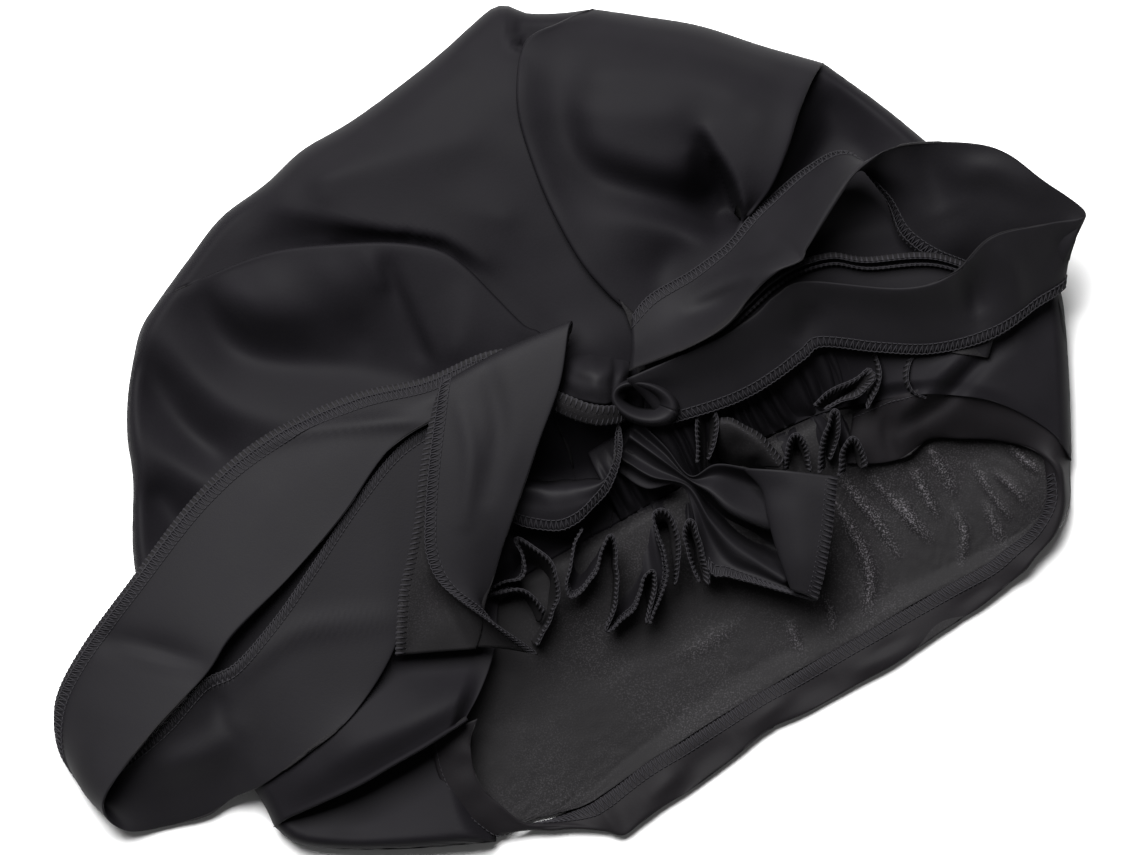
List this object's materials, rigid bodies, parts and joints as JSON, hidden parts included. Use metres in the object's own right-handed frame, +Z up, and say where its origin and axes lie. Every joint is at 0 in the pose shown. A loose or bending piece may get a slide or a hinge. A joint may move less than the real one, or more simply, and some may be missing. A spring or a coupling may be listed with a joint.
{
  "type": "sleep bonnet",
  "caption": "Black satin sleep bonnet with a gathered nape, a banded face opening and wide ties knotted in a large bow, lying nape side up.",
  "frame": {"origin": "middle of the outline on the surface that the bonnet lies on", "axes": "+Z up through the bow, +X from the left loop to the right loop, +Y towards the closed far side of the crown, away from the face opening"},
  "size_m": [0.3708, 0.3054, 0.0676],
  "materials": {
    "satin": "black satin, soft sheen, matte on its reverse",
    "band_satin": "doubled black satin with its duller side out",
    "frill_satin": "single black satin with an overlocked edge",
    "overlock_thread": "matte black overlock thread"
  },
  "bodies": {
    "root": {"crown": "satin", "front_band": "band_satin", "nape_ruffle": "frill_satin", "bow_knot": "satin", "bow_loop_left": "satin", "bow_loop_right": "satin", "tie_end_left": "satin", "tie_end_right": "satin", "tie_strap_right": "satin"}
  },
  "joints": []
}
